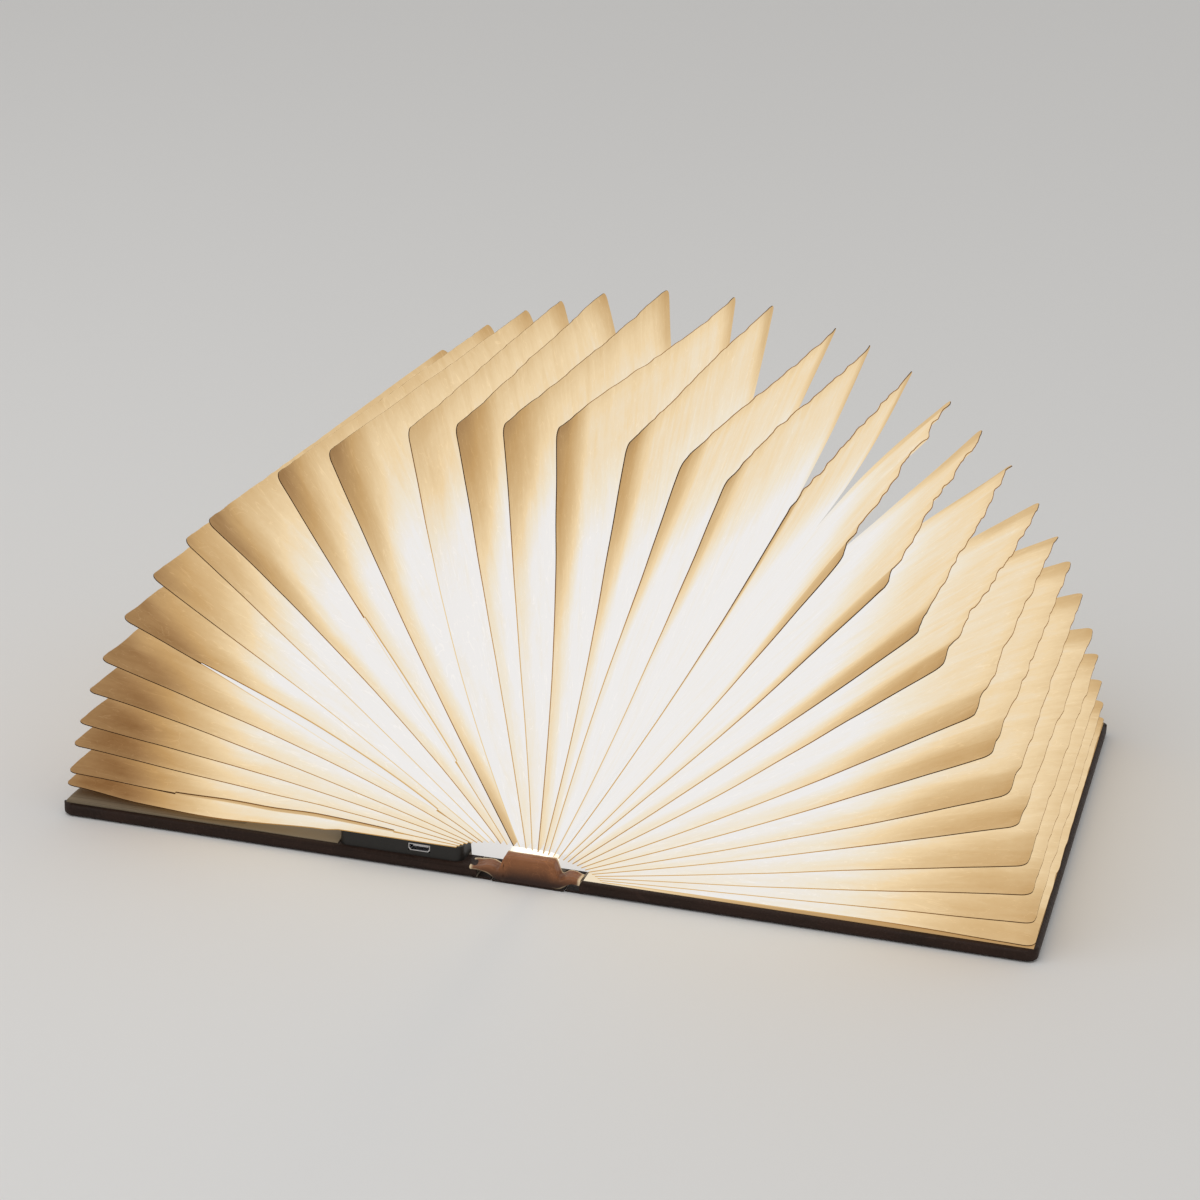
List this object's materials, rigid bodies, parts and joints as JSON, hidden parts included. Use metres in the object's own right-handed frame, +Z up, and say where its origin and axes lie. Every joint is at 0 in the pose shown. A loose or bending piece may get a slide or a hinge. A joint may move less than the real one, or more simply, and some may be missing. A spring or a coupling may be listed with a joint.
{
  "type": "folding book lamp",
  "caption": "Hard-covered book lamp that lies open at 180 degrees, its translucent pages fanned into a glowing dome over a light strip in the spine.",
  "frame": {"origin": "under the middle of the spine, on the plane that the open covers lie on", "axes": "+X across the open covers from left to right, +Y along the spine away from the tail end, +Z up through the fan of pages"},
  "size_m": [0.3474, 0.215, 0.1593],
  "materials": {
    "greyboard": "matt grey-brown pressed board",
    "dark_cover_paper": "satin near-black brown leather-look paper with a fine grain",
    "copper_turn_in": "satin copper-brown leather-look paper, creased at the folds",
    "page_sheet": "matt translucent spun-fibre sheet, warm white with swirling fibres",
    "endpaper": "matt greyish off-white sheet",
    "white_plastic": "matt white moulded plastic",
    "diffuser": "frosted translucent plastic, lit from below",
    "white_circuit_board": "white solder mask",
    "light_chip": "yellow phosphor over a white body",
    "black_component": "moulded black epoxy",
    "black_plastic": "fine-textured black moulded plastic",
    "cell_foil": "dull foil pouch",
    "green_circuit_board": "green solder mask",
    "socket_steel": "tinned folded steel",
    "magnet": "nickel plate"
  },
  "bodies": {
    "spine": {"spine_board": "greyboard", "spine_wrap": "copper_turn_in", "lamp_housing": "white_plastic", "diffuser": "diffuser", "led_board": "white_circuit_board", "led_chips": "light_chip", "hall_sensor": "black_component", "left_page_lining": "page_sheet", "right_page_lining": "page_sheet"},
    "left_cover": {"left_cover_board": "greyboard", "left_cover_wrap": "dark_cover_paper", "left_endpaper": "endpaper", "left_flyleaf": "endpaper", "left_cover_magnets": "magnet", "case_base": "black_plastic", "case_lid": "black_plastic", "battery_cell": "cell_foil", "charge_board": "green_circuit_board", "usb_socket": "socket_steel"},
    "right_cover": {"right_cover_board": "greyboard", "right_cover_wrap": "dark_cover_paper", "right_endpaper": "endpaper", "right_flyleaf": "endpaper", "right_cover_magnets": "magnet"},
    "page_01": {"page_01": "page_sheet"},
    "page_02": {"page_02": "page_sheet"},
    "page_03": {"page_03": "page_sheet"},
    "page_04": {"page_04": "page_sheet"},
    "page_05": {"page_05": "page_sheet"},
    "page_06": {"page_06": "page_sheet"},
    "page_07": {"page_07": "page_sheet"},
    "page_08": {"page_08": "page_sheet"},
    "page_09": {"page_09": "page_sheet"},
    "page_10": {"page_10": "page_sheet"},
    "page_11": {"page_11": "page_sheet"},
    "page_12": {"page_12": "page_sheet"},
    "page_13": {"page_13": "page_sheet"},
    "page_14": {"page_14": "page_sheet"},
    "page_15": {"page_15": "page_sheet"},
    "page_16": {"page_16": "page_sheet"},
    "page_17": {"page_17": "page_sheet"},
    "page_18": {"page_18": "page_sheet"},
    "page_19": {"page_19": "page_sheet"},
    "page_20": {"page_20": "page_sheet"},
    "page_21": {"page_21": "page_sheet"},
    "page_22": {"page_22": "page_sheet"},
    "page_23": {"page_23": "page_sheet"},
    "page_24": {"page_24": "page_sheet"},
    "page_25": {"page_25": "page_sheet"},
    "page_26": {"page_26": "page_sheet"},
    "page_27": {"page_27": "page_sheet"},
    "page_28": {"page_28": "page_sheet"},
    "page_29": {"page_29": "page_sheet"},
    "page_30": {"page_30": "page_sheet"},
    "page_31": {"page_31": "page_sheet"},
    "page_32": {"page_32": "page_sheet"}
  },
  "joints": [
    {"name": "left_cover_hinge", "type": "hinge", "parent": "spine", "child": "left_cover", "pos_m": [-0.01366, 0, 0.0005], "axis": [0, 1, 0], "range_deg": [-90, 90], "deforming": ["left_page_lining"]},
    {"name": "right_cover_hinge", "type": "hinge", "parent": "spine", "child": "right_cover", "pos_m": [0.01366, 0, 0.0005], "axis": [0, -1, 0], "range_deg": [-90, 90], "deforming": ["right_page_lining"]},
    {"name": "page_01_hinge", "type": "hinge", "parent": "spine", "child": "page_01", "pos_m": [-0.01366, 0, 0.0005], "axis": [0, 1, 0], "range_deg": [-90.01, 90.01]},
    {"name": "page_02_hinge", "type": "hinge", "parent": "spine", "child": "page_02", "pos_m": [-0.01317, 0, 0.0005], "axis": [0, 1, 0], "range_deg": [-86.76, 86.76]},
    {"name": "page_03_hinge", "type": "hinge", "parent": "spine", "child": "page_03", "pos_m": [-0.01258, 0, 0.0005], "axis": [0, 1, 0], "range_deg": [-82.88, 82.88]},
    {"name": "page_04_hinge", "type": "hinge", "parent": "spine", "child": "page_04", "pos_m": [-0.0119, 0, 0.0005], "axis": [0, 1, 0], "range_deg": [-78.41, 78.41]},
    {"name": "page_05_hinge", "type": "hinge", "parent": "spine", "child": "page_05", "pos_m": [-0.01114, 0, 0.0005], "axis": [0, 1, 0], "range_deg": [-73.4, 73.4]},
    {"name": "page_06_hinge", "type": "hinge", "parent": "spine", "child": "page_06", "pos_m": [-0.0103, 0, 0.0005], "axis": [0, 1, 0], "range_deg": [-67.89, 67.89]},
    {"name": "page_07_hinge", "type": "hinge", "parent": "spine", "child": "page_07", "pos_m": [-0.0094, 0, 0.0005], "axis": [0, 1, 0], "range_deg": [-61.95, 61.95]},
    {"name": "page_08_hinge", "type": "hinge", "parent": "spine", "child": "page_08", "pos_m": [-0.00844, 0, 0.0005], "axis": [0, 1, 0], "range_deg": [-55.6, 55.6]},
    {"name": "page_09_hinge", "type": "hinge", "parent": "spine", "child": "page_09", "pos_m": [-0.00742, 0, 0.0005], "axis": [0, 1, 0], "range_deg": [-48.9, 48.9]},
    {"name": "page_10_hinge", "type": "hinge", "parent": "spine", "child": "page_10", "pos_m": [-0.00636, 0, 0.0005], "axis": [0, 1, 0], "range_deg": [-41.89, 41.89]},
    {"name": "page_11_hinge", "type": "hinge", "parent": "spine", "child": "page_11", "pos_m": [-0.00525, 0, 0.0005], "axis": [0, 1, 0], "range_deg": [-34.63, 34.63]},
    {"name": "page_12_hinge", "type": "hinge", "parent": "spine", "child": "page_12", "pos_m": [-0.00412, 0, 0.0005], "axis": [0, 1, 0], "range_deg": [-27.16, 27.16]},
    {"name": "page_13_hinge", "type": "hinge", "parent": "spine", "child": "page_13", "pos_m": [-0.00296, 0, 0.0005], "axis": [0, 1, 0], "range_deg": [-19.52, 19.52]},
    {"name": "page_14_hinge", "type": "hinge", "parent": "spine", "child": "page_14", "pos_m": [-0.00178, 0, 0.0005], "axis": [0, 1, 0], "range_deg": [-11.76, 11.76]},
    {"name": "page_15_hinge", "type": "hinge", "parent": "spine", "child": "page_15", "pos_m": [-0.0006, 0, 0.0005], "axis": [0, 1, 0], "range_deg": [-3.94, 3.94]},
    {"name": "page_16_hinge", "type": "hinge", "parent": "spine", "child": "page_16", "pos_m": [0.00051, 0, 0.0005], "axis": [0, -1, 0], "range_deg": [-3.4, 3.4]},
    {"name": "page_17_hinge", "type": "hinge", "parent": "spine", "child": "page_17", "pos_m": [0.00154, 0, 0.0005], "axis": [0, -1, 0], "range_deg": [-10.17, 10.17]},
    {"name": "page_18_hinge", "type": "hinge", "parent": "spine", "child": "page_18", "pos_m": [0.00256, 0, 0.0005], "axis": [0, -1, 0], "range_deg": [-16.89, 16.89]},
    {"name": "page_19_hinge", "type": "hinge", "parent": "spine", "child": "page_19", "pos_m": [0.00357, 0, 0.0005], "axis": [0, -1, 0], "range_deg": [-23.53, 23.53]},
    {"name": "page_20_hinge", "type": "hinge", "parent": "spine", "child": "page_20", "pos_m": [0.00456, 0, 0.0005], "axis": [0, -1, 0], "range_deg": [-30.07, 30.07]},
    {"name": "page_21_hinge", "type": "hinge", "parent": "spine", "child": "page_21", "pos_m": [0.00553, 0, 0.0005], "axis": [0, -1, 0], "range_deg": [-36.46, 36.46]},
    {"name": "page_22_hinge", "type": "hinge", "parent": "spine", "child": "page_22", "pos_m": [0.00648, 0, 0.0005], "axis": [0, -1, 0], "range_deg": [-42.68, 42.68]},
    {"name": "page_23_hinge", "type": "hinge", "parent": "spine", "child": "page_23", "pos_m": [0.00739, 0, 0.0005], "axis": [0, -1, 0], "range_deg": [-48.7, 48.7]},
    {"name": "page_24_hinge", "type": "hinge", "parent": "spine", "child": "page_24", "pos_m": [0.00827, 0, 0.0005], "axis": [0, -1, 0], "range_deg": [-54.48, 54.48]},
    {"name": "page_25_hinge", "type": "hinge", "parent": "spine", "child": "page_25", "pos_m": [0.0091, 0, 0.0005], "axis": [0, -1, 0], "range_deg": [-59.99, 59.99]},
    {"name": "page_26_hinge", "type": "hinge", "parent": "spine", "child": "page_26", "pos_m": [0.0099, 0, 0.0005], "axis": [0, -1, 0], "range_deg": [-65.21, 65.21]},
    {"name": "page_27_hinge", "type": "hinge", "parent": "spine", "child": "page_27", "pos_m": [0.01064, 0, 0.0005], "axis": [0, -1, 0], "range_deg": [-70.1, 70.1]},
    {"name": "page_28_hinge", "type": "hinge", "parent": "spine", "child": "page_28", "pos_m": [0.01132, 0, 0.0005], "axis": [0, -1, 0], "range_deg": [-74.63, 74.63]},
    {"name": "page_29_hinge", "type": "hinge", "parent": "spine", "child": "page_29", "pos_m": [0.01195, 0, 0.0005], "axis": [0, -1, 0], "range_deg": [-78.76, 78.76]},
    {"name": "page_30_hinge", "type": "hinge", "parent": "spine", "child": "page_30", "pos_m": [0.01252, 0, 0.0005], "axis": [0, -1, 0], "range_deg": [-82.48, 82.48]},
    {"name": "page_31_hinge", "type": "hinge", "parent": "spine", "child": "page_31", "pos_m": [0.01301, 0, 0.0005], "axis": [0, -1, 0], "range_deg": [-85.74, 85.74]},
    {"name": "page_32_hinge", "type": "hinge", "parent": "spine", "child": "page_32", "pos_m": [0.01343, 0, 0.0005], "axis": [0, -1, 0], "range_deg": [-88.51, 88.51]}
  ],
  "couplings": [
    {"joint": "page_01_hinge", "follows": "left_cover_hinge", "ratio": 1},
    {"joint": "page_02_hinge", "follows": "left_cover_hinge", "ratio": 0.96389},
    {"joint": "page_03_hinge", "follows": "left_cover_hinge", "ratio": 0.92074},
    {"joint": "page_04_hinge", "follows": "left_cover_hinge", "ratio": 0.87108},
    {"joint": "page_05_hinge", "follows": "left_cover_hinge", "ratio": 0.81541},
    {"joint": "page_06_hinge", "follows": "left_cover_hinge", "ratio": 0.75427},
    {"joint": "page_07_hinge", "follows": "left_cover_hinge", "ratio": 0.68817},
    {"joint": "page_08_hinge", "follows": "left_cover_hinge", "ratio": 0.61764},
    {"joint": "page_09_hinge", "follows": "left_cover_hinge", "ratio": 0.5432},
    {"joint": "page_10_hinge", "follows": "left_cover_hinge", "ratio": 0.46537},
    {"joint": "page_11_hinge", "follows": "left_cover_hinge", "ratio": 0.38467},
    {"joint": "page_12_hinge", "follows": "left_cover_hinge", "ratio": 0.30162},
    {"joint": "page_13_hinge", "follows": "left_cover_hinge", "ratio": 0.21674},
    {"joint": "page_14_hinge", "follows": "left_cover_hinge", "ratio": 0.13057},
    {"joint": "page_15_hinge", "follows": "left_cover_hinge", "ratio": 0.043611},
    {"joint": "page_16_hinge", "follows": "right_cover_hinge", "ratio": 0.037689},
    {"joint": "page_17_hinge", "follows": "right_cover_hinge", "ratio": 0.11289},
    {"joint": "page_18_hinge", "follows": "right_cover_hinge", "ratio": 0.18757},
    {"joint": "page_19_hinge", "follows": "right_cover_hinge", "ratio": 0.26138},
    {"joint": "page_20_hinge", "follows": "right_cover_hinge", "ratio": 0.33397},
    {"joint": "page_21_hinge", "follows": "right_cover_hinge", "ratio": 0.40499},
    {"joint": "page_22_hinge", "follows": "right_cover_hinge", "ratio": 0.4741},
    {"joint": "page_23_hinge", "follows": "right_cover_hinge", "ratio": 0.54094},
    {"joint": "page_24_hinge", "follows": "right_cover_hinge", "ratio": 0.60518},
    {"joint": "page_25_hinge", "follows": "right_cover_hinge", "ratio": 0.66646},
    {"joint": "page_26_hinge", "follows": "right_cover_hinge", "ratio": 0.72443},
    {"joint": "page_27_hinge", "follows": "right_cover_hinge", "ratio": 0.77874},
    {"joint": "page_28_hinge", "follows": "right_cover_hinge", "ratio": 0.82907},
    {"joint": "page_29_hinge", "follows": "right_cover_hinge", "ratio": 0.87502},
    {"joint": "page_30_hinge", "follows": "right_cover_hinge", "ratio": 0.91629},
    {"joint": "page_31_hinge", "follows": "right_cover_hinge", "ratio": 0.95251},
    {"joint": "page_32_hinge", "follows": "right_cover_hinge", "ratio": 0.98333}
  ]
}
